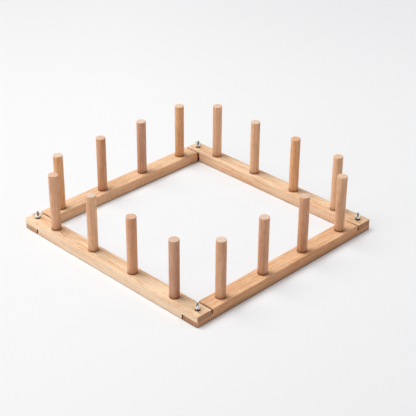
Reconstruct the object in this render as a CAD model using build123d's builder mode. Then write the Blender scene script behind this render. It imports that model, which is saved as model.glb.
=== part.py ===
from build123d import *
from math import copysign, cos, radians, sin
import os

# Frame: four rails half-lapped into a square
corner_spacing = 500.0
rail_width = 40.0
rail_thickness = 25.0
lap_gap = 3.5
rail_edge_radius = 1.2
end_grain_chamfer = 0.6
tongue_corner_radius = 3.0

# Pegs: dowels glued into blind holes along the middle of each rail
pegs_per_rail = 4
peg_pitch = 123.5
peg_diameter = 22.0
peg_length = 150.0
peg_hole_depth = 17.0
peg_glue_clearance = 0.1
peg_top_chamfer = 1.0

# Carriage bolts: domed head let into the underside, square neck, round shank
bolt_diameter = 5.0
bolt_protrusion = 16.5
bolt_tip_chamfer = 0.6
bolt_hole_clearance = 0.25
bolt_head_diameter = 13.5
bolt_head_height = 3.0
bolt_head_recess = 0.5
bolt_head_clearance = 1.0
bolt_neck_side = 5.5
bolt_neck_height = 4.0
bolt_neck_clearance = 0.05

# Washers
washer_diameter = 10.0
washer_thickness = 1.0
washer_bore_clearance = 0.1

# Wing nuts
nut_bore_clearance = 0.05
nut_height = 13.0
hub_base_diameter = 10.5
hub_top_diameter = 8.6
hub_height = 6.0
hub_rim_chamfer = 1.2
wing_span = 23.0
wing_thickness = 2.6
wing_tip_radius = 3.8
wing_root_radius = 2.0
wing_edge_radius = 0.7

# Direction of each nut's wings as the photograph shows them, in degrees from +X
wing_turn = {"front_left": 48.0, "front_right": 20.0, "back_left": 140.0, "back_right": 90.0}

# Values that follow from those above
half_spacing = corner_spacing / 2
rail_length = corner_spacing + rail_width
lap_length = rail_width + lap_gap
tongue_thickness = rail_thickness / 2
counterbore_depth = bolt_head_height + bolt_head_recess
counterbore_diameter = bolt_head_diameter + 2 * bolt_head_clearance
bolt_length = rail_thickness + bolt_protrusion - counterbore_depth

os.makedirs("parts", exist_ok=True)


def build_rail(name, underside, tongues_on_top):
    """A rail along the x direction of its underside plane, halved at both ends."""
    section = Plane(underside.origin, x_dir=underside.y_dir, z_dir=underside.x_dir)
    with BuildPart() as rail:
        with BuildSketch(section):
            with Locations((0, rail_thickness / 2)):
                RectangleRounded(rail_width, rail_thickness, rail_edge_radius)
        extrude(amount=rail_length / 2, both=True)

        # The half that the crossing rail's tongue takes up, with the gap beside it
        lap_depth = -tongue_thickness if tongues_on_top else tongue_thickness
        with BuildSketch(underside.offset(tongue_thickness)):
            with GridLocations(rail_length - lap_length, 0, 2, 1):
                Rectangle(lap_length, rail_width)
        extrude(amount=lap_depth, mode=Mode.SUBTRACT)

        # Eased edges of the end grain: tongue ends all round, shoulders along their outer edge
        along = Axis(underside.origin, underside.x_dir)
        across = Axis(underside.origin, underside.y_dir)
        end_grain = rail.faces().filter_by(along).group_by(along)
        tongue_ends = end_grain[0].edges() + end_grain[-1].edges()
        shoulder_side = rail.edges().filter_by(across).group_by(Axis.Z)[0 if tongues_on_top else -1]
        chamfer(tongue_ends + shoulder_side, length=end_grain_chamfer)

        with BuildSketch(underside.offset(rail_thickness)):
            with GridLocations(peg_pitch, 0, pegs_per_rail, 1):
                Circle(peg_diameter / 2 + peg_glue_clearance)
        extrude(amount=-peg_hole_depth, mode=Mode.SUBTRACT)

        with BuildSketch(underside):
            with GridLocations(corner_spacing, 0, 2, 1):
                Circle(bolt_diameter / 2 + bolt_hole_clearance)
        extrude(amount=rail_thickness, mode=Mode.SUBTRACT)

        # The tongues are rounded at the frame's four outer corners
        outer_edge = copysign(rail_width / 2, underside.origin.dot(underside.y_dir))
        arc_centre = outer_edge - copysign(tongue_corner_radius, outer_edge)
        with BuildSketch(underside):
            with GridLocations(rail_length, 0, 2, 1), Locations((0, outer_edge)):
                Rectangle(2 * tongue_corner_radius, 2 * tongue_corner_radius)
            with GridLocations(rail_length - 2 * tongue_corner_radius, 0, 2, 1), Locations((0, arc_centre)):
                Circle(tongue_corner_radius, mode=Mode.SUBTRACT)
        extrude(amount=rail_thickness, mode=Mode.SUBTRACT)

        # The lower tongues hold the bolt's domed head and its square neck
        if not tongues_on_top:
            with BuildSketch(underside):
                with GridLocations(corner_spacing, 0, 2, 1):
                    Circle(counterbore_diameter / 2)
            extrude(amount=counterbore_depth, mode=Mode.SUBTRACT)
            with BuildSketch(underside.offset(counterbore_depth)):
                with GridLocations(corner_spacing, 0, 2, 1):
                    Rectangle(
                        bolt_neck_side + 2 * bolt_neck_clearance,
                        bolt_neck_side + 2 * bolt_neck_clearance,
                    )
            extrude(amount=bolt_neck_height, mode=Mode.SUBTRACT)
    rail.part.label = name
    export_step(rail.part, f"parts/{name}.step")


def build_peg(name, seat):
    """A dowel that stands on the bottom of its blind hole."""
    with BuildPart() as peg:
        with BuildSketch(seat):
            Circle(peg_diameter / 2)
        extrude(amount=peg_length)
        chamfer(peg.edges().group_by(Axis.Z)[-1], length=peg_top_chamfer)
    peg.part.label = name
    export_step(peg.part, f"parts/{name}.step")


def build_bolt(name, seat):
    """A carriage bolt whose head rests under its seat plane, with the shank going up."""
    with BuildPart() as bolt:
        dome_plane = Plane(seat.origin, x_dir=seat.x_dir, z_dir=-seat.y_dir)
        with BuildSketch(dome_plane):
            with BuildLine():
                Polyline(
                    (0, -bolt_head_height),
                    (0, 0),
                    (bolt_head_diameter / 2, 0),
                )
                RadiusArc(
                    (bolt_head_diameter / 2, 0),
                    (0, -bolt_head_height),
                    (bolt_head_diameter**2 / 4 + bolt_head_height**2) / (2 * bolt_head_height),
                )
            make_face()
        revolve(axis=Axis(seat.origin, seat.z_dir))

        with BuildSketch(seat):
            Rectangle(bolt_neck_side, bolt_neck_side)
        extrude(amount=bolt_neck_height)

        with BuildSketch(seat):
            Circle(bolt_diameter / 2)
        extrude(amount=bolt_length)
        chamfer(bolt.edges().group_by(Axis.Z)[-1], length=bolt_tip_chamfer)
    bolt.part.label = name
    export_step(bolt.part, f"parts/{name}.step")


def build_washer(name, seat):
    """A flat washer lying on the upper tongue."""
    with BuildPart() as washer:
        with BuildSketch(seat):
            Circle(washer_diameter / 2)
            Circle(bolt_diameter / 2 + washer_bore_clearance, mode=Mode.SUBTRACT)
        extrude(amount=washer_thickness)
    washer.part.label = name
    export_step(washer.part, f"parts/{name}.step")


def build_wing_nut(name, seat):
    """A wing nut: a tapered round hub with two rounded ears that rise outwards from it."""
    wing_plane = Plane(seat.origin, x_dir=seat.x_dir, z_dir=-seat.y_dir)
    wing_normal = Axis(seat.origin, seat.y_dir)
    hub_axis = Axis(seat.origin, seat.z_dir)
    ear_centre = wing_span / 2 - wing_tip_radius
    root_centre = bolt_diameter / 2 + nut_bore_clearance + wing_root_radius / 2
    with BuildPart() as nut:
        # Each ear is the band round a large circle at its tip and a small one inside the hub's wall
        for side in (-1, 1):
            with BuildSketch(wing_plane):
                with Locations((side * ear_centre, nut_height - wing_tip_radius)):
                    Circle(wing_tip_radius)
                with Locations((side * root_centre, hub_height / 2)):
                    Circle(wing_root_radius)
                make_hull()
            extrude(amount=wing_thickness / 2, both=True)
        fillet(nut.faces().filter_by(wing_normal).edges(), radius=wing_edge_radius)

        # The hub grows through the roots of both ears
        with BuildSketch(wing_plane):
            Polygon(
                (0, 0),
                (hub_base_diameter / 2, 0),
                (hub_top_diameter / 2, hub_height),
                (0, hub_height),
                align=None,
            )
        revolve(axis=hub_axis)
        chamfer(nut.edges().group_by(Axis.Z)[0], length=hub_rim_chamfer)

        with BuildSketch(seat):
            Circle(bolt_diameter / 2 + nut_bore_clearance)
        extrude(amount=nut_height, mode=Mode.SUBTRACT)
    nut.part.label = name
    export_step(nut.part, f"parts/{name}.step")


rail_sides = {
    "front_rail": (Plane((0, -half_spacing, 0), x_dir=(1, 0, 0)), False),
    "back_rail": (Plane((0, half_spacing, 0), x_dir=(1, 0, 0)), False),
    "left_rail": (Plane((-half_spacing, 0, 0), x_dir=(0, 1, 0)), True),
    "right_rail": (Plane((half_spacing, 0, 0), x_dir=(0, 1, 0)), True),
}
for rail_name, (underside, tongues_on_top) in rail_sides.items():
    build_rail(rail_name, underside, tongues_on_top)
    first_peg = -peg_pitch * (pegs_per_rail - 1) / 2
    for peg in range(pegs_per_rail):
        foot = underside.from_local_coords((first_peg + peg * peg_pitch, 0, rail_thickness - peg_hole_depth))
        build_peg(rail_name.replace("rail", f"peg_{peg + 1}"), Plane(foot))

corners = {
    "front_left": (-half_spacing, -half_spacing),
    "front_right": (half_spacing, -half_spacing),
    "back_left": (-half_spacing, half_spacing),
    "back_right": (half_spacing, half_spacing),
}
for corner, (x, y) in corners.items():
    turn = radians(wing_turn[corner])
    build_bolt(f"{corner}_bolt", Plane((x, y, counterbore_depth)))
    build_washer(f"{corner}_washer", Plane((x, y, rail_thickness)))
    nut_seat = Plane((x, y, rail_thickness + washer_thickness), x_dir=(cos(turn), sin(turn), 0))
    build_wing_nut(f"{corner}_wing_nut", nut_seat)
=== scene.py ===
from math import copysign, cos, pi, radians, sin, sqrt

import bmesh
import bpy
from mathutils import Matrix, Vector


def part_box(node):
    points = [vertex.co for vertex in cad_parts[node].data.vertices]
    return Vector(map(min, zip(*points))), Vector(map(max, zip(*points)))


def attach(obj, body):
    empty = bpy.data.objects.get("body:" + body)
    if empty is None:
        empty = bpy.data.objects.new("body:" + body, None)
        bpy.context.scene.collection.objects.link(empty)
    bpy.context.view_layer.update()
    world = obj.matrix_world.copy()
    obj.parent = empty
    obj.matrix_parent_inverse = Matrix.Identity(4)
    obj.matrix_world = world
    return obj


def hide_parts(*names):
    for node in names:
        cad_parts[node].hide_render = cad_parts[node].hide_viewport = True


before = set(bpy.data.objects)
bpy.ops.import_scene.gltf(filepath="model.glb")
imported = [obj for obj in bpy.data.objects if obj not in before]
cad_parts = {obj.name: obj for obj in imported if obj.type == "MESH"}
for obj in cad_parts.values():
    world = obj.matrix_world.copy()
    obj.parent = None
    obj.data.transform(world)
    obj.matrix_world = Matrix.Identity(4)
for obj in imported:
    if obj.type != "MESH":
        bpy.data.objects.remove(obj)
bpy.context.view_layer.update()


# Rails: four planed beech bars, halved at their ends so that they cross flush at each corner.
# The front and back rails carry the lower tongues, the left and right rails the upper ones.
# Their grain runs lengthwise, with fine dark flecks, and their sawn ends are redder and show the rings.
class Strand:
    """One value on its way through a tree of nodes, so that sums on it read as ordinary sums."""

    def __init__(self, nodes, socket):
        self.nodes = nodes
        self.socket = socket

    def __add__(self, other):
        return self.nodes.maths("ADD", self, other)

    def __sub__(self, other):
        return self.nodes.maths("SUBTRACT", self, other)

    def __rsub__(self, other):
        return self.nodes.maths("SUBTRACT", other, self)

    def __mul__(self, other):
        return self.nodes.maths("MULTIPLY", self, other)

    def __truediv__(self, other):
        return self.nodes.maths("DIVIDE", self, other)

    def __mod__(self, other):
        return self.nodes.maths("MODULO", self, other)

    def __abs__(self):
        return self.nodes.maths("ABSOLUTE", self)

    __radd__ = __add__
    __rmul__ = __mul__

    def between(self, low, high):
        """0 below the low value, 1 above the high one, and an eased step in the middle."""
        return self.nodes.node(
            "ShaderNodeMapRange",
            {"interpolation_type": "SMOOTHSTEP"},
            {"Value": self, "From Min": low, "From Max": high},
        )


class Nodes:
    """A tree of nodes: a finish, a shape, or the room round the board."""

    def __init__(self, tree):
        self.tree = tree

    def node(self, kind, settings=None, inputs=None, output=0):
        """Adds a node: its settings first, then the values or links of its sockets."""
        made = self.tree.nodes.new(kind)
        for name, value in (settings or {}).items():
            if name == "stops":
                stops = made.color_ramp.elements
                while len(stops) < len(value):
                    stops.new(1.0)
                for stop, (position, colour) in zip(stops, value):
                    stop.position = position
                    stop.color = colour
            else:
                setattr(made, name, value)
        for name, value in (inputs or {}).items():
            if isinstance(value, Strand):
                self.tree.links.new(value.socket, made.inputs[name])
            else:
                made.inputs[name].default_value = value
        return Strand(self, made.outputs[output])

    def maths(self, operation, *values):
        return self.node("ShaderNodeMath", {"operation": operation}, dict(enumerate(values)))

    def vector(self, operation, *values, output="Vector"):
        inputs = dict(enumerate(values))
        return self.node("ShaderNodeVectorMath", {"operation": operation}, inputs, output)

    def distance(self, one_way, other_way):
        """How far a place is off, from its distances in two directions at right angles."""
        return self.maths("SQRT", one_way * one_way + other_way * other_way)

    def axes(self, place):
        """A place's X, Y and Z, each as a value of its own."""
        parts = self.node("ShaderNodeSeparateXYZ", None, {"Vector": place}).socket.node.outputs
        return [Strand(self, part) for part in parts]

    def blend(self, share, first, second):
        """A colour between two others. Sockets 6 and 7 are the Mix node's colours, 2 its mixed one."""
        return self.node(
            "ShaderNodeMix", {"data_type": "RGBA"}, {0: share, 6: first, 7: second}, output=2
        )

    def noise(self, place, stretch, detail=2.0, rough=0.5, output="Fac"):
        """Soft noise, with as many lumps per millimetre each way as the stretch says."""
        return self.node(
            "ShaderNodeTexNoise",
            {"noise_dimensions": "3D"},
            {
                "Vector": self.vector("MULTIPLY", place, stretch),
                "Scale": 1.0,
                "Detail": detail,
                "Roughness": rough,
            },
            output,
        )


class Finish(Nodes):
    """The nodes of one material, ending in its shader."""

    def __init__(self, name, **constants):
        self.material = bpy.data.materials.new(name)
        self.material.use_nodes = True
        super().__init__(self.material.node_tree)
        self.shader = self.tree.nodes["Principled BSDF"]
        for socket, value in constants.items():
            self.shader.inputs[socket.replace("_", " ")].default_value = value

    def place(self):
        """The place on the piece, in millimetres."""
        on_piece = self.node("ShaderNodeTexCoord", output="Object")
        return self.vector("MULTIPLY", on_piece, (1000.0, 1000.0, 1000.0))

    def feed(self, **strands):
        for socket, strand in strands.items():
            self.tree.links.new(strand.socket, self.shader.inputs[socket.replace("_", " ")])

    def dent(self, height, depth):
        """Raises and sinks the surface by up to the depth, in metres."""
        bump = self.node("ShaderNodeBump", None, {"Height": height, "Distance": depth})
        self.feed(Normal=bump)


def rgb(red, green, blue):
    """A colour as a picture names it, from 0 to 255, in the linear values that shaders use."""
    return tuple(
        c / 12.92 if c <= 0.04045 else ((c + 0.055) / 1.055) ** 2.4
        for c in (red / 255, green / 255, blue / 255)
    ) + (1.0,)


def beech(wood, place, colours, heart, ring_width, figure, marks):
    """Beech seen on a piece whose X is along the grain, with the tree's heart at (y, z).
    Marks are (where, colour, strength), laid over the wood one after another."""
    pale, deep, fleck_colour = colours
    sway = 9.0
    wander = wood.noise(place, (0.006, 0.03, 0.03), output="Color")
    wander = wood.vector("SUBTRACT", wander, (0.5, 0.5, 0.5))
    place = wood.vector("ADD", place, wood.vector("MULTIPLY", wander, (0.0, sway, sway)))

    # Yearly rings: each darkens slowly and ends in a thin line of late wood
    from_heart = wood.vector("SUBTRACT", place, (0.0, *heart))
    from_heart = wood.vector("MULTIPLY", from_heart, (0.0, 1.0, 1.0))
    years = wood.vector("LENGTH", from_heart, output="Value") / ring_width
    ring = wood.maths("FRACT", years)
    late = ring.between(0.25, 0.86) * (1 - ring.between(0.9, 1.0))

    # Figure of all sizes, from single fibres to the broad drift from pale wood to deep
    fibres = wood.noise(place, (0.035, 0.9, 0.9), detail=4.0, rough=0.6)
    grain = wood.noise(place, (0.012, 0.33, 0.33), detail=3.0, rough=0.6)
    mottle = wood.noise(place, (0.07, 0.16, 0.16))
    streaks = wood.noise(place, (0.004, 0.09, 0.09), detail=3.0)
    cloud = wood.noise(place, (0.01, 0.025, 0.025), detail=1.0)
    depth = streaks.between(0.25, 0.75) * 0.5 + late * figure
    depth = depth + (fibres - 0.5) * 1.1 + (grain - 0.5) * 1.5
    depth = depth + (mottle - 0.5) * 0.7 + (cloud - 0.5) * 0.4
    colour = wood.blend((depth + 0.1).between(0.0, 1.1), pale, deep)

    # Short dark rays, thicker where the cloud is
    fleck_cells = wood.vector("MULTIPLY", place, (0.2, 0.95, 0.95))
    flecks = wood.node(
        "ShaderNodeTexVoronoi", {"feature": "F1"},
        {"Vector": fleck_cells, "Scale": 1.0, "Randomness": 1.0},
    )
    flecks = (1 - flecks.between(0.14, 0.4)) * cloud.between(0.3, 0.62)
    colour = wood.blend(flecks * 0.5, colour, fleck_colour)

    for where, mark, strength in marks:
        colour = wood.blend(where * strength, colour, mark)
    wood.feed(Base_Color=colour, Roughness=0.5 + fibres * 0.16 - late * 0.05)
    wood.dent(fibres * 0.6 - flecks * 0.5, 0.00006)
    return wood.material


def rail_beech(
    name, along_y, slide, colours, heart, ring_width,
    side_shading_colour, side_shading_strength, low_shade_tone, tip_tone, knots,
):
    """One rail's beech. Slide takes the wood from its own place in the tree, the tones say how
    strongly painted light and shade colour the sides, painted shade the foot and their own colour
    the sawn tips, and a knot is (along, off the middle, length, width)."""
    wood = Finish(name, IOR=1.45, Specular_IOR_Level=0.35)
    lengthwise = wood.node(
        "ShaderNodeMapping", None,
        {"Vector": wood.place(), "Rotation": (0.0, 0.0, -pi / 2 if along_y else 0.0)},
    )
    run, aside, height = wood.axes(lengthwise)
    along, across = abs(run), abs(aside)
    off_middle = across - bolt_at
    on_top = height.between(rail_top - 2.0, rail_top - 0.5)

    # The faces: long sides, sawn tips, and the edges all round them
    off_side = across.between(inner_edge + 0.3, inner_edge + 1.2)
    off_side = off_side * (1 - across.between(rail_end - 1.2, rail_end - 0.3))
    tip = along.between(rail_end - 0.8, rail_end - 0.2)
    edge = abs(off_middle).between(rail_width / 2 - 4.0, rail_width / 2 - 1.5)
    edge = wood.maths("MAXIMUM", edge, tip)

    # Painted shade in the gap beside each tongue: the shoulder's end grain on one side, the other
    # tongue's edge opposite
    shoulder = along.between(shoulder_at - 0.3, shoulder_at)
    shoulder = shoulder * (1 - along.between(shoulder_at, shoulder_at + 0.3))
    upper_half = height.between(rail_top / 2 - 0.1, rail_top / 2 + 0.1)
    shoulder = shoulder * (1 - upper_half if along_y else upper_half)
    tongue_side = along.between(shoulder_at, shoulder_at + 0.4)
    tongue_side = tongue_side * (1 - across.between(inner_edge + 0.2, inner_edge + 1.0))
    gap_shade = wood.maths("MAXIMUM", shoulder, tongue_side)
    gap_shade = gap_shade * (1 - height.between(rail_top - 4.5, rail_top - 1.0))

    # Painted shade round each peg's foot, with some glue wiped off there, and painted shade round the
    # washers
    from_peg = wood.distance(along % peg_pitch - peg_pitch / 2, off_middle)
    glue_and_peg_shade = (1 - from_peg.between(11.1, 12.6)) * on_top
    from_bolt = wood.distance(along - bolt_at, off_middle)
    washer_shade = (1 - from_bolt.between(5.0, 7.2)) * on_top

    # Painted shade: the sides darken towards the floor, and most along the edge that stands on the
    # table
    foot = (1 - height.between(0.0, 17.0)) * edge
    grime_and_shade = (1 - height.between(0.5, 2.6)) * edge
    marks = [
        # painted light and shade: the long sides are made paler or darker as the light falls on them
        (1 - off_side, side_shading_colour, side_shading_strength),
        (tip, rgb(156, 98, 66), tip_tone),
        # painted shade in the lap gaps
        (gap_shade, rgb(98, 40, 20), 0.88),
        # painted shade, darker towards the floor
        (foot, rgb(132, 86, 58), low_shade_tone),
        # painted shade round each peg's foot, with some glue
        (glue_and_peg_shade, rgb(132, 78, 48), 0.28),
        # painted contact shade along the bottom edge
        (grime_and_shade, rgb(70, 46, 32), 0.72 + low_shade_tone * 0.6),
        # painted shade round each washer
        (washer_shade, rgb(58, 36, 24), 0.75),
    ]
    slant = 1.2
    for knot_at, knot_off, knot_length, knot_width in knots:
        ahead = (run - knot_at) / knot_length
        beside = (off_middle - knot_off + ahead * slant) / knot_width
        knot = 1 - wood.distance(ahead, beside).between(0.2, 1.0)
        marks.append((knot, rgb(208, 130, 74), 0.8))
    figure = 0.12 + tip * 0.5
    return beech(wood, wood.vector("ADD", lengthwise, slide), colours, heart, ring_width, figure, marks)


rail_low, rail_high = [corner * 1000 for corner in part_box("front_rail")]
rail_end = rail_high.x
rail_width = rail_high.y - rail_low.y
rail_top = rail_high.z
inner_edge = rail_end - rail_width
bolt_at = rail_end - rail_width / 2
lap_gap = 3.5
shoulder_at = inner_edge - lap_gap
peg_pitch = (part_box("front_peg_2")[0].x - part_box("front_peg_1")[0].x) * 1000
rails = {
    "front_rail": {
        "along_y": False, "slide": (1000.0, 270.0, 40.0),
        "colours": (rgb(246, 203, 161), rgb(214, 150, 102), rgb(150, 92, 56)),
        "heart": (60.0, -38.0), "ring_width": 3.4, "knots": [],
        "side_shading_colour": rgb(206, 130, 82), "side_shading_strength": 0.45, "low_shade_tone": 0.36, "tip_tone": 0.62,
    },
    "back_rail": {
        "along_y": False, "slide": (3000.0, -230.0, 90.0),
        "colours": (rgb(247, 210, 171), rgb(217, 158, 110), rgb(152, 92, 54)),
        "heart": (48.0, -30.0), "ring_width": 3.0, "knots": [],
        "side_shading_colour": rgb(226, 140, 82), "side_shading_strength": 0.2, "low_shade_tone": 0.2, "tip_tone": 0.3,
    },
    "left_rail": {
        "along_y": True, "slide": (5000.0, 235.0, 10.0),
        "colours": (rgb(249, 220, 185), rgb(222, 164, 116), rgb(164, 104, 68)),
        "heart": (496.0, -70.0), "ring_width": 3.4,
        "knots": [(150.0, 7.0, 14.0, 2.6), (164.0, 3.0, 10.0, 2.0)],
        "side_shading_colour": rgb(242, 219, 194), "side_shading_strength": 0.36, "low_shade_tone": 0.07, "tip_tone": 0.7,
    },
    "right_rail": {
        "along_y": True, "slide": (7000.0, -255.0, 60.0),
        "colours": (rgb(247, 220, 187), rgb(222, 164, 114), rgb(164, 104, 66)),
        "heart": (-470.0, -52.0), "ring_width": 3.2, "knots": [],
        "side_shading_colour": rgb(206, 130, 82), "side_shading_strength": 0.2, "low_shade_tone": 0.16, "tip_tone": 0.7,
    },
}
for rail, choices in rails.items():
    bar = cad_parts[rail].data
    bar.materials.clear()
    bar.materials.append(rail_beech(rail + "_beech", **choices))
    for face in bar.polygons:
        face.material_index = 0


# Pegs: sixteen beech dowels, four to a rail, glued upright into blind holes.
# Each was cut from its own length of dowel, so their colour and figure differ,
# and the top's rim is eased where the yarn slips over it.
def turned(profile, sides):
    """A solid turned round Z from points (radius, height), bottom to top, both ends on the axis."""
    mesh = bmesh.new()
    rings = []
    for radius, height in profile:
        if radius == 0:
            rings.append([mesh.verts.new((0, 0, height))])
        else:
            turns = (2 * pi * side / sides for side in range(sides))
            rings.append([mesh.verts.new((radius * cos(a), radius * sin(a), height)) for a in turns])
    for low, high in zip(rings, rings[1:]):
        for side in range(sides):
            after = (side + 1) % sides
            below = [low[side % len(low)], low[after % len(low)]]
            above = [high[after % len(high)], high[side % len(high)]]
            # On the axis both corners are one point, so the face is a triangle there
            mesh.faces.new(list(dict.fromkeys(below + above)))
    return mesh


def piece(name, mesh, material, smooth=True):
    """Turns worked mesh into a piece at the origin, with its place in its mesh."""
    bmesh.ops.recalc_face_normals(mesh, faces=mesh.faces)
    data = bpy.data.meshes.new(name)
    mesh.to_mesh(data)
    mesh.free()
    data.materials.append(material)
    data.polygons.foreach_set("use_smooth", [smooth] * len(data.polygons))
    made = bpy.data.objects.new(name, data)
    bpy.context.scene.collection.objects.link(made)
    return made


def rounded(radius, height, ease, steps):
    """The quarter round of a rim, from its side to its flat, as points (radius, height)."""
    turns = [pi / 2 * step / steps for step in range(steps + 1)]
    return [(radius - ease + ease * cos(a), height - ease + ease * sin(a)) for a in turns]


peg_low, peg_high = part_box("front_peg_1")
peg_foot, peg_top = peg_low.z, peg_high.z
peg_radius = (peg_high.x - peg_low.x) / 2
peg_rim = 0.0011
side_length = peg_top - peg_rim - 0.0001 - peg_foot
side_steps = 6
peg_profile = [(0, peg_foot), (peg_radius * 0.97, peg_foot), (peg_radius, peg_foot + 0.0004)]
for step in range(1, side_steps + 1):
    peg_profile.append((peg_radius, peg_foot + side_length * step / side_steps))
peg_profile += rounded(peg_radius, peg_top, ease=peg_rim, steps=5)
peg_profile += [(peg_radius * 0.6, peg_top), (peg_radius * 0.25, peg_top), (0, peg_top)]


def open_shape(name, sockets):
    """A new tree that makes a shape, and its inputs by name."""
    tree = bpy.data.node_groups.new(name, "GeometryNodeTree")
    for socket, kind in sockets.items():
        tree.interface.new_socket(socket, in_out="INPUT", socket_type="NodeSocket" + kind)
    tree.interface.new_socket("Shape", in_out="OUTPUT", socket_type="NodeSocketGeometry")
    nodes = Nodes(tree)
    given = tree.nodes.new("NodeGroupInput").outputs
    return nodes, {socket.name: Strand(nodes, socket) for socket in given if socket.name}


def close_shape(nodes, shape, finish):
    """Ends a shape's tree in one plain mesh with its finish on it."""
    shape = nodes.node("GeometryNodeRealizeInstances", None, {"Geometry": shape})
    shape = nodes.node("GeometryNodeSetMaterial", None, {"Geometry": shape, "Material": finish})
    done = nodes.tree.nodes.new("NodeGroupOutput")
    nodes.tree.links.new(shape.socket, done.inputs[0])
    return nodes.tree


def shaped(name, tree, start, **choices):
    """Runs a tree on an object with the sizes given, and keeps the result as a plain mesh."""
    modifier = start.modifiers.new("shape", "NODES")
    modifier.node_group = tree
    for socket in tree.interface.items_tree:
        if socket.in_out == "INPUT" and socket.name in choices:
            modifier[socket.identifier] = choices[socket.name]
    bpy.context.view_layer.update()
    seen = start.evaluated_get(bpy.context.evaluated_depsgraph_get())
    data = bpy.data.meshes.new_from_object(seen)
    start.modifiers.remove(modifier)
    data.name = name
    made = bpy.data.objects.new(name, data)
    bpy.context.scene.collection.objects.link(made)
    return made


def peg_row_tree():
    """Stands one peg after another along a rail, each turned its own way."""
    row, asked = open_shape("peg_row", {
        "Peg": "Object", "Finish": "Material", "Count": "Int",
        "First": "Vector", "Step": "Vector", "Seed": "Int",
    })
    line = row.node(
        "GeometryNodeMeshLine", {"mode": "OFFSET", "count_mode": "TOTAL"},
        {"Count": asked["Count"], "Start Location": asked["First"], "Offset": asked["Step"]},
    )
    peg = row.node("GeometryNodeObjectInfo", None, {"Object": asked["Peg"]}, output="Geometry")
    peg = row.node(
        "GeometryNodeStoreNamedAttribute", {"data_type": "FLOAT_VECTOR", "domain": "POINT"},
        {"Geometry": peg, "Name": "along_peg", "Value": row.node("GeometryNodeInputPosition")},
    )
    turn = row.node(
        "FunctionNodeRandomValue", {"data_type": "FLOAT_VECTOR"},
        {"Min": (0.0, 0.0, 0.0), "Max": (0.0, 0.0, 2 * pi), "Seed": asked["Seed"]},
    )
    pegs = row.node(
        "GeometryNodeInstanceOnPoints", None, {"Points": line, "Instance": peg, "Rotation": turn}
    )
    pegs = row.node(
        "GeometryNodeStoreNamedAttribute", {"data_type": "FLOAT", "domain": "INSTANCE"},
        {"Geometry": pegs, "Name": "peg_number", "Value": row.node("GeometryNodeInputIndex")},
    )
    return close_shape(row, pegs, asked["Finish"])


def by_number(wood, number, colours):
    """The colour that belongs to a peg's number."""
    stops = [(step / len(colours), colour) for step, colour in enumerate(colours)]
    share = number / len(colours) + 0.5 / len(colours)
    picked = wood.node("ShaderNodeValToRGB", {"stops": stops}, {"Fac": share})
    picked.socket.node.color_ramp.interpolation = "CONSTANT"
    return picked


def peg_beech(name, pegs, seed):
    """Each peg's own beech: its number picks its tint, how pale its end grain is,
    and the place in the tree it came from."""
    wood = Finish(name, IOR=1.45, Specular_IOR_Level=0.35)
    number = wood.node("ShaderNodeAttribute", {"attribute_name": "peg_number"}, output="Fac")
    tint = by_number(wood, number, [dowels[tint] for tint, _ in pegs])
    end_tone = by_number(wood, number, [(end, end, end, 1.0) for _, end in pegs])
    pale = wood.blend(0.16, tint, rgb(255, 232, 205))
    deep = wood.blend(0.42, tint, rgb(168, 104, 66))
    dark = wood.blend(0.7, tint, rgb(124, 74, 46))

    # The dowel stands on its grain, so its length is laid along X, far from the other pegs' wood
    upright = wood.node("ShaderNodeAttribute", {"attribute_name": "along_peg"}, output="Vector")
    place = wood.node(
        "ShaderNodeMapping", None,
        {"Vector": upright, "Scale": (1000.0, 1000.0, 1000.0), "Rotation": (0.0, pi / 2, 0.0)},
    )
    apart = wood.node(
        "ShaderNodeCombineXYZ", None,
        {"X": number * 431.0 + seed * 97.0, "Y": number * 3.7, "Z": number * 2.3},
    )
    place = wood.vector("ADD", place, apart)

    _, _, height = wood.axes(wood.place())
    top = peg_top * 1000
    end_grain = height.between(top - 0.5, top - 0.1)
    rim_highlight = height.between(top - 1.6, top - 0.9) * (1 - end_grain)
    pores = wood.noise(place, (0.02, 0.45, 0.45), detail=3.0)
    cut_wood = wood.blend(pores.between(0.36, 0.64), rgb(243, 223, 206), rgb(221, 192, 168))
    low_peg_shade = 1 - height.between(rail_top + 3.0, rail_top + 21.0)
    glue_line_and_shade = 1 - height.between(rail_top + 0.8, rail_top + 7.2)
    marks = [
        (end_grain, cut_wood, end_tone),
        # painted highlight on the eased rim
        (rim_highlight, rgb(250, 228, 204), 0.4),
        # painted shade, darker towards the peg's foot
        (low_peg_shade, rgb(130, 76, 46), 0.26),
        # painted contact shade at the peg's foot, with some glue
        (glue_line_and_shade, rgb(122, 66, 36), 0.72),
    ]
    return beech(
        wood, place, (pale, deep, dark), heart=(26.0, 19.0), ring_width=2.6, figure=0.24, marks=marks
    )


def axis_of(node):
    """Where an upright node's axis meets the floor."""
    low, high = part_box(node)
    return Vector(((low.x + high.x) / 2, (low.y + high.y) / 2, 0.0))


dowels = {
    "pale": rgb(237, 186, 144), "sandy": rgb(226, 171, 132), "rosy": rgb(227, 171, 135),
    "tan": rgb(216, 154, 113), "golden": rgb(235, 173, 117), "brown": rgb(203, 146, 114),
}
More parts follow.
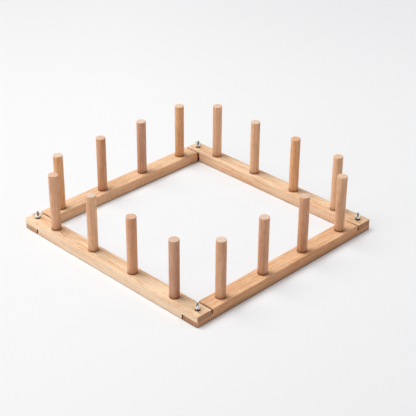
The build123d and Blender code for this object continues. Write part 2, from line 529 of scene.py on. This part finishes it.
# Each peg's dowel, and how pale its end grain is
peg_rows = {
    "front": (("sandy", 0.95), ("rosy", 0.7), ("tan", 0.64), ("pale", 0.45)),
    "back": (("golden", 0.85), ("tan", 0.55), ("brown", 0.82), ("golden", 0.75)),
    "left": (("brown", 0.62), ("tan", 0.4), ("pale", 0.7), ("sandy", 0.42)),
    "right": (("pale", 0.3), ("golden", 0.2), ("pale", 0.8), ("pale", 0.5)),
}
peg_row = peg_row_tree()
lone_peg = piece("lone_peg", turned(peg_profile, sides=48), None)
for seed, (side, row) in enumerate(peg_rows.items()):
    first, second = axis_of(side + "_peg_1"), axis_of(side + "_peg_2")
    start = piece(side + "_start", bmesh.new(), None)
    pegs = shaped(
        side + "_pegs", peg_row, start, Peg=lone_peg, Count=len(row), First=first,
        Step=second - first, Seed=seed, Finish=peg_beech(side + "_peg_beech", row, seed),
    )
    bpy.data.objects.remove(start)
    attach(pegs, "frame")
    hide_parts(*[f"{side}_peg_{number}" for number in range(1, 5)])
bpy.data.objects.remove(lone_peg)


# Bolts: zinc-plated carriage bolts, one through each lapped corner from below.
# The domed head lies in a recess, the square neck keeps it from turning,
# and the thread comes out above the nut.
def thread_tree():
    """Winds the thread's ridge round the shank and joins it to the bolt."""
    bolt, asked = open_shape("bolt_thread", {
        "Bolt": "Geometry", "Core radius": "Float", "Crest": "Float", "Pitch": "Float",
        "Turns": "Float", "Start": "Vector", "Finish": "Material", "Place": "Vector",
    })
    helix = bolt.node(
        "GeometryNodeCurveSpiral", None,
        {
            "Resolution": 28, "Rotations": asked["Turns"], "Start Radius": asked["Core radius"],
            "End Radius": asked["Core radius"], "Height": asked["Turns"] * asked["Pitch"],
        },
    )
    # The ridge runs out to nothing over the thread's last turn
    way = bolt.node("GeometryNodeSplineParameter")
    fade = way.between(0.0, 0.03) * (1 - way.between(0.965, 1.0))
    ridge_size = bolt.maths("MAXIMUM", fade, 0.05)
    helix = bolt.node("GeometryNodeSetCurveRadius", None, {"Curve": helix, "Radius": ridge_size})
    ridge = bolt.node(
        "GeometryNodeCurvePrimitiveCircle", {"mode": "RADIUS"},
        {"Resolution": 3, "Radius": asked["Crest"]},
    )
    ridge = bolt.node(
        "GeometryNodeCurveToMesh", None,
        {"Curve": helix, "Profile Curve": ridge, "Fill Caps": True},
    )
    ridge = bolt.node(
        "GeometryNodeTransform", None, {"Geometry": ridge, "Translation": asked["Start"]}
    )
    joined = bolt.node("GeometryNodeJoinGeometry", None, {"Geometry": asked["Bolt"]})
    bolt.tree.links.new(ridge.socket, joined.socket.node.inputs["Geometry"])
    placed = bolt.node(
        "GeometryNodeTransform", None, {"Geometry": joined, "Translation": asked["Place"]}
    )
    return close_shape(bolt, placed, asked["Finish"])


def zinc(name, colour, roughness, grime_and_shade, foot, painted_reflection_from):
    """Bright zinc on steel, faintly mottled with grime, with painted shade towards the foot that turns
    near black below the foot's height, and a painted dark reflection farther from the bolt's axis than
    the given radius."""
    metal = Finish(name, Metallic=1.0)
    place = metal.place()
    _, _, height = metal.axes(place)
    mottle = metal.noise(place, (0.5, 0.5, 0.5), detail=3.0)
    grit = metal.noise(place, (6.0, 6.0, 6.0))
    worn_and_shaded = metal.blend(mottle.between(0.35, 0.75) * grime_and_shade, colour, rgb(122, 118, 112))
    off_axis = metal.vector("SUBTRACT", metal.vector("ABSOLUTE", place), (bolt_at, bolt_at, 0.0))
    off_axis = metal.vector("MULTIPLY", off_axis, (1.0, 1.0, 0.0))
    # painted dark reflection on the ears' outer parts
    dark_reflection = metal.vector("LENGTH", off_axis, output="Value").between(painted_reflection_from - 1.0, painted_reflection_from + 1.6)
    worn_and_shaded = metal.blend(dark_reflection * 0.6, worn_and_shaded, rgb(112, 106, 98))
    shaded = 1 - height.between(foot - 0.5, foot + 4.5)
    worn_and_shaded = metal.blend(shaded * 0.45, worn_and_shaded, rgb(96, 100, 102))
    # painted shade: near black at the nut's foot
    foot_shade = 1 - (height + mottle * 1.2).between(foot - 0.9, foot + 0.9)
    worn_and_shaded = metal.blend(foot_shade * 0.94, worn_and_shaded, rgb(38, 20, 13))
    metal.feed(Base_Color=worn_and_shaded, Roughness=roughness + mottle * 0.16 + grit * 0.06)
    metal.dent(grit, 0.00002)
    return metal.material


thread_pitch = 0.0008
thread_turns = 28.5
thread_length = 0.024
thread_depth = 0.00042
shank_radius = 0.0025
core_radius = shank_radius - thread_depth
neck_half = 0.00275
neck_height = 0.004
head_height = 0.003
bolt_low, bolt_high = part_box("front_left_bolt")
head_radius = (bolt_high.x - bolt_low.x) / 2
seat_height = bolt_low.z + head_height
thread_foot = bolt_high.z - thread_length


def plain_bolt():
    """The bolt before its thread is rolled: domed head, square neck and core."""
    profile = [(0, bolt_low.z)]
    dome_steps = 8
    for step in range(1, dome_steps + 1):
        share = step / dome_steps
        rise = head_height * 0.93 * (1 - sqrt(1 - share**2))
        profile.append((head_radius * 0.985 * sin(share * pi / 2), bolt_low.z + rise))
    profile += [(head_radius, seat_height - 0.00008), (head_radius - 0.0001, seat_height)]
    profile += [(neck_half, seat_height), (shank_radius, seat_height), (shank_radius, thread_foot)]
    profile += [(core_radius, thread_foot + 0.0005), (core_radius, bolt_high.z - 0.0005)]
    profile += [(core_radius - 0.0004, bolt_high.z), (0, bolt_high.z)]
    mesh = turned(profile, sides=32)
    neck = bmesh.ops.create_cube(mesh, size=1.0)["verts"]
    bmesh.ops.scale(mesh, vec=(2 * neck_half, 2 * neck_half, neck_height), verts=neck)
    bmesh.ops.translate(mesh, vec=(0, 0, seat_height + neck_height / 2), verts=neck)
    edges = list({edge for vert in neck for edge in vert.link_edges})
    bmesh.ops.bevel(mesh, geom=edges, offset=0.0004, segments=2, affect="EDGES", profile=0.5)
    return mesh


thread = thread_tree()
# The bolts' zinc is set darker than the nuts' as painted shade in the thread's hollows
shaded_zinc_for_bolts = zinc(
    "bolt_zinc", rgb(140, 139, 134), roughness=0.34, grime_and_shade=0.5, foot=0.0, painted_reflection_from=20.0
)
corners = ("front_left", "front_right", "back_left", "back_right")
for corner in corners:
    start = piece(corner + "_start", plain_bolt(), shaded_zinc_for_bolts)
    bolt = shaped(
        corner + "_threaded_bolt", thread, start, **{
            "Core radius": core_radius - 0.00005, "Crest": 0.00047,
            "Pitch": thread_pitch, "Turns": thread_turns,
            "Start": Vector((0.0, 0.0, thread_foot + 0.0004)),
            "Finish": shaded_zinc_for_bolts, "Place": axis_of(corner + "_bolt"),
        },
    )
    bpy.data.objects.remove(start)
    bolt.data.polygons.foreach_set("use_smooth", [True] * len(bolt.data.polygons))
    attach(bolt, "frame")
    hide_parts(corner + "_bolt")


# Washers: plain steel discs that lie on the upper tongue under each nut, coloured nearly black as
# painted shade there.
# Stamping leaves their edges slightly rounded.
def washer_ring(outer, inner, thickness, ease):
    """A stamped ring: four eased edges round a flat section."""
    section = []
    edge_steps = 3
    for radius, height, turn in (
        (outer - ease, ease, -1), (outer - ease, thickness - ease, 0),
        (inner + ease, thickness - ease, 1), (inner + ease, ease, 2),
    ):
        for step in range(edge_steps + 1):
            a = (turn + step / edge_steps) * pi / 2
            section.append((radius + ease * cos(a), height + ease * sin(a)))
    mesh = bmesh.new()
    sides = 48
    rings = []
    for side in range(sides):
        a = 2 * pi * side / sides
        rings.append([mesh.verts.new((r * cos(a), r * sin(a), height)) for r, height in section])
    for side in range(sides):
        here, after = rings[side], rings[(side + 1) % sides]
        for corner in range(len(section)):
            on = (corner + 1) % len(section)
            mesh.faces.new((here[corner], after[corner], after[on], here[on]))
    return mesh


def steel_darkened_as_shade():
    """Steel nearly black as painted shade, browner in patches, and with scratches."""
    metal = Finish("washer_steel", Metallic=1.0)
    place = metal.place()
    patches = metal.noise(place, (0.6, 0.6, 0.6), detail=4.0)
    scratches = metal.noise(place, (4.0, 0.7, 4.0))
    colour = metal.blend(patches.between(0.3, 0.7), rgb(36, 20, 14), rgb(62, 38, 27))
    metal.feed(Base_Color=colour, Roughness=0.38 + scratches * 0.2)
    metal.dent(scratches, 0.00002)
    return metal.material


bore_radius = 0.0026
stamped_edge = 0.0002
washer_steel = steel_darkened_as_shade()
for corner in corners:
    low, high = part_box(corner + "_washer")
    mesh = washer_ring((high.x - low.x) / 2, bore_radius, high.z - low.z, stamped_edge)
    seat = axis_of(corner + "_washer") + Vector((0.0, 0.0, low.z))
    bmesh.ops.translate(mesh, vec=seat, verts=mesh.verts)
    washer = piece(corner + "_stamped_washer", mesh, washer_steel)
    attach(washer, corner + "_washer_body")
    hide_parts(corner + "_washer")


# Wing nuts: cast and zinc plated, a tapered hub with two ears that flow out of its sides.
# They are screwed down by hand on the washers and stand turned as they were left.
nut_turns = {"front_left": 48.0, "front_right": 20.0, "back_left": 140.0, "back_right": 90.0}


def wing_nut():
    """The cage of a wing nut whose ears point along X, for subdivision to round.
    Its sizes are in millimetres until each point is made."""
    mesh = bmesh.new()
    crease = mesh.edges.layers.float.new("crease_edge")
    sides = 12
    profile = (
        (2.62, 0.25), (3.1, 0.0), (4.0, 0.0), (5.1, 0.9), (5.25, 1.7),
        (4.6, 4.9), (4.3, 5.85), (4.0, 6.1), (3.05, 6.1), (2.62, 5.8),
    )
    # Subdivision draws a ring of twelve corners in by this share
    drawn_in = 0.9553
    rings = []
    for radius, height in profile:
        spread = radius / 1000 / drawn_in
        turns = [radians(15 + 30 * side) for side in range(sides)]
        rings.append([mesh.verts.new((spread * cos(a), spread * sin(a), height / 1000)) for a in turns])
    faces = {}
    for level in range(len(rings)):
        low, high = rings[level], rings[(level + 1) % len(rings)]
        for side in range(sides):
            after = (side + 1) % sides
            faces[level, side] = mesh.faces.new((low[side], low[after], high[after], high[side]))
    for bore_end in (rings[0], rings[-1]):
        for side in range(sides):
            mesh.edges.get((bore_end[side], bore_end[(side + 1) % sides]))[crease] = 0.7

    # Each ear leaves the hub between two of its rings and widens into a paddle:
    # its lower point, its upper point and half its thickness, from the hub outwards
    stations = (
        ((6.6, 2.7), (5.6, 6.9), 1.35),
        ((8.9, 4.5), (4.9, 9.9), 1.3),
        ((11.4, 7.0), (5.3, 13.2), 1.25),
        ((12.2, 10.6), (8.6, 14.2), 1.1),
    )
    ear_level = 4
    for side, way in ((11, 1), (5, -1)):
        face = faces[ear_level, side]
        for lower, upper, half in stations:
            face = bmesh.ops.extrude_discrete_faces(mesh, faces=[face])["faces"][0]
            ends = sorted(face.verts, key=lambda vert: vert.co.z)
            for vert, (x, z) in zip(ends, (lower, lower, upper, upper)):
                vert.co = (way * x / 1000, copysign(half, vert.co.y) / 1000, z / 1000)
    return mesh


nut_zinc = zinc(
    "wing_nut_zinc", rgb(236, 240, 242), roughness=0.2, grime_and_shade=0.1, foot=28.6, painted_reflection_from=9.6
)
for corner in corners:
    mesh = wing_nut()
    turn = Matrix.Rotation(radians(nut_turns[corner]), 3, "Z")
    bmesh.ops.rotate(mesh, cent=(0, 0, 0), matrix=turn, verts=mesh.verts)
    washer_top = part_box(corner + "_washer")[1].z
    seat = axis_of(corner + "_washer") + Vector((0.0, 0.0, washer_top))
    bmesh.ops.translate(mesh, vec=seat, verts=mesh.verts)
    nut = piece(corner + "_cast_wing_nut", mesh, nut_zinc)
    smooth = nut.modifiers.new("cast", "SUBSURF")
    smooth.levels = smooth.render_levels = 3
    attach(nut, corner + "_nut_body")
    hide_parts(corner + "_wing_nut")


# Floor: a plain white studio table that runs out of sight.
# It shows nearly white to the eye, dims slowly away from the board, most of all to the right,
# and still takes the board's soft shadow.
def studio_floor():
    paper = Finish("floor_paper", Roughness=0.9, Specular_IOR_Level=0.1)
    place = paper.node("ShaderNodeTexCoord", output="Object")
    from_centre = paper.vector("MULTIPLY", place, (1.0, 1.0, 0.0))
    from_centre = paper.vector("LENGTH", from_centre, output="Value")
    rightwards = paper.vector("DOT_PRODUCT", place, (0.7, -0.7, 0.0), output="Value")
    away = paper.vector("DOT_PRODUCT", place, (0.7, 0.7, 0.0), output="Value")
    colour = paper.blend(rightwards.between(-0.7, 0.7), rgb(243, 243, 243), rgb(240, 240, 242))
    paper.feed(Base_Color=colour)

    # What the eye sees of the floor is part glow, and less of it close to the wood
    dim = rightwards.between(-0.9, 0.9) * 0.47 + abs(away - 0.35).between(0.15, 1.5) * 0.53
    dim = dim + (1 - rightwards.between(-0.6, -0.2)) * 0.25
    glow = paper.blend(dim, rgb(255, 255, 255), rgb(235, 235, 237))
    lit = paper.node("ShaderNodeEmission", None, {"Color": glow, "Strength": 1.0})
    open_sky = paper.node("ShaderNodeAmbientOcclusion", {"samples": 8}, {"Distance": 0.05}, output="AO")
    by_eye = paper.node("ShaderNodeLightPath", output="Is Camera Ray")
    share = 0.58 * open_sky.between(0.3, 1.0) + from_centre.between(0.8, 3.0) * 0.42
    shader = Strand(paper, paper.shader.outputs["BSDF"])
    mixed = paper.node("ShaderNodeMixShader", None, {0: by_eye * share, 1: shader, 2: lit})
    paper.tree.links.new(mixed.socket, paper.tree.nodes["Material Output"].inputs["Surface"])
    return paper.material


floor_reach = 30.0
mesh = bmesh.new()
bmesh.ops.create_grid(mesh, x_segments=24, y_segments=24, size=floor_reach)
floor = piece("floor", mesh, studio_floor())


# Light: a large soft window high up beyond the board's left corner, a lower one on its left,
# and a faint one low on its right. The pale room is seen by the eye and in the metal,
# and lights the board only a little.
sky = bpy.data.worlds.new("pale_room")
sky.use_nodes = True
bpy.context.scene.world = sky
room = Nodes(sky.node_tree)
seen = room.node("ShaderNodeLightPath").socket.node.outputs
kinds_of_ray = ("Is Camera Ray", "Is Glossy Ray", "Is Transmission Ray")
by_eye, in_metal, through = [Strand(room, seen[kind]) for kind in kinds_of_ray]
shown = room.maths("MINIMUM", by_eye + in_metal + through, 1.0)
backdrop = sky.node_tree.nodes["Background"]
backdrop.inputs["Color"].default_value = rgb(250, 250, 250)
sky.node_tree.links.new((0.14 + shown * 0.82).socket, backdrop.inputs["Strength"])


def window(name, place, size, watts):
    """A square window that faces the middle of the board."""
    lamp = bpy.data.lights.new(name, "AREA")
    lamp.shape = "SQUARE"
    lamp.size = size
    lamp.energy = watts
    made = bpy.data.objects.new(name, lamp)
    made.location = place
    made.rotation_euler = (-Vector(place)).to_track_quat("-Z", "Y").to_euler()
    bpy.context.scene.collection.objects.link(made)


window("high_window", (-1.0, 2.0, 4.8), size=2.8, watts=222.0)
window("left_window", (-5.2, 0.8, 2.6), size=3.2, watts=112.0)
window("right_window", (3.6, -2.8, 2.6), size=2.6, watts=56.0)


# Camera: the photograph's viewpoint, above the near corner and looking down across the board.
# It was solved from the pegs and the rails' edges, in pixels of the photograph.
photo_width = 416
focal_pixels = 1161.04
heading, fall, lean = 0.7761, 0.5172, 0.009
looks_at = Vector((0.0809, 0.0484, 0.0))
stands_off = 2.6634
ahead = Vector((cos(fall) * cos(heading), cos(fall) * sin(heading), -sin(fall)))
level = ahead.cross(Vector((0, 0, 1))).normalized()
upright = level.cross(ahead)
side = level * cos(lean) + upright * sin(lean)
above = -level * sin(lean) + upright * cos(lean)
eye = bpy.data.objects.new("eye", bpy.data.cameras.new("eye"))
bpy.context.scene.collection.objects.link(eye)
eye.matrix_world = Matrix((side, above, -ahead)).transposed().to_4x4()
eye.location = looks_at - ahead * stands_off
eye.data.sensor_width = 36.0
eye.data.lens = focal_pixels / photo_width * eye.data.sensor_width
eye.data.clip_start, eye.data.clip_end = 0.05, 100.0
bpy.context.scene.camera = eye
bpy.context.scene.view_settings.view_transform = "Standard"
